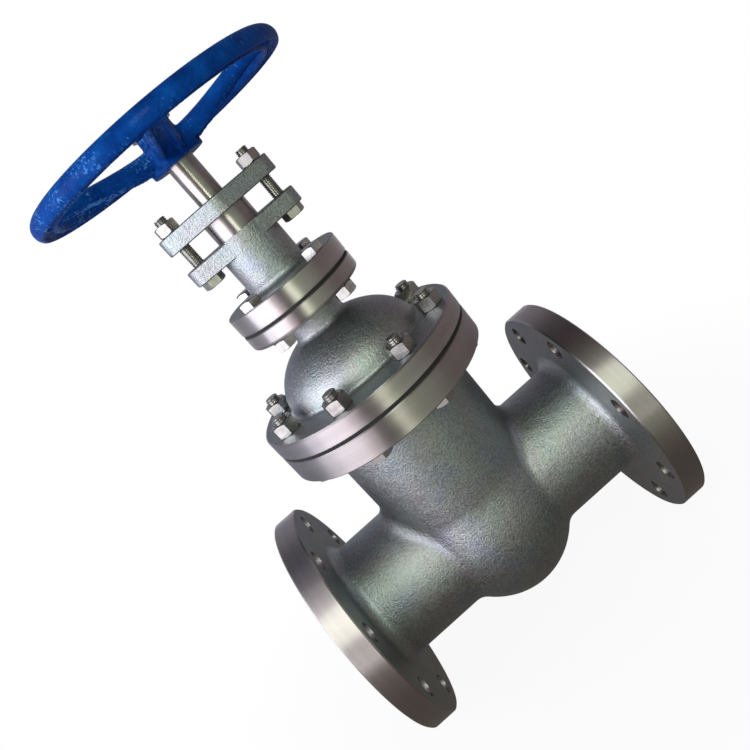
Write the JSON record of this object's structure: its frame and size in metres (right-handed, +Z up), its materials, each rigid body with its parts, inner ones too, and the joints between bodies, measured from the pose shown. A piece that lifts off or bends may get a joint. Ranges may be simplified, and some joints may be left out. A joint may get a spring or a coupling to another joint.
{
  "type": "flanged gate valve",
  "caption": "Stainless wedge gate valve with round flanged ends, bolted domed bonnet, bolted stuffing box, two-bolt gland and a dished blue handwheel on a non-rising stem.",
  "frame": {"origin": "where the pipe axis crosses the stem axis, in the middle of the flow bore", "axes": "+X along the pipe from inlet to outlet, +Z up the stem to the handwheel, -Y towards the pictured side"},
  "size_m": [0.3, 0.221, 0.5273],
  "materials": {
    "cast_stainless": "shot-blasted cast stainless steel with turned flange rims",
    "turned_stainless": "turned and ground stainless steel",
    "bolt_steel": "bright cold-formed stainless fasteners",
    "bronze": "turned bronze",
    "gasket_sheet": "black graphite and rubber gasket sheet",
    "graphite_packing": "braided graphite packing",
    "blue_enamel": "glossy blue enamel on cast iron"
  },
  "bodies": {
    "casing": {"valve_body": "cast_stainless", "seat_ring_inlet": "turned_stainless", "seat_ring_outlet": "turned_stainless", "bonnet": "cast_stainless", "bonnet_gasket": "gasket_sheet", "bonnet_bolts": "bolt_steel", "bonnet_nuts": "bolt_steel", "bonnet_bush": "bronze", "thrust_washer_lower": "bronze", "thrust_washer_upper": "bronze", "stuffing_box": "cast_stainless", "stuffing_box_gasket": "gasket_sheet", "stuffing_box_bolts": "bolt_steel", "stuffing_box_nuts": "bolt_steel", "packing_rings": "graphite_packing", "gland_bolts": "bolt_steel"},
    "spindle": {"stem": "turned_stainless", "handwheel": "blue_enamel", "handwheel_key": "turned_stainless", "handwheel_washer": "turned_stainless", "handwheel_nut": "bolt_steel"},
    "gate": {"gate_wedge": "cast_stainless", "stem_nut": "bronze"},
    "gland": {"gland_follower": "cast_stainless", "gland_nuts": "bolt_steel"}
  },
  "joints": [
    {"name": "stem_turn", "type": "hinge", "parent": "casing", "child": "spindle", "pos_m": [0, 0, 0.249], "axis": [0, 0, 1], "range_deg": [-7560, 0]},
    {"name": "gate_lift", "type": "slide", "parent": "casing", "child": "gate", "axis": [0, 0, 1], "range_m": [-0.105, 0]},
    {"name": "gland_adjust", "type": "slide", "parent": "casing", "child": "gland", "axis": [0, 0, 1], "range_m": [-0.006, 0], "deforming": ["packing_rings"]}
  ],
  "couplings": [
    {"joint": "stem_turn", "follows": "gate_lift", "rad_per_m": 1256.6}
  ]
}
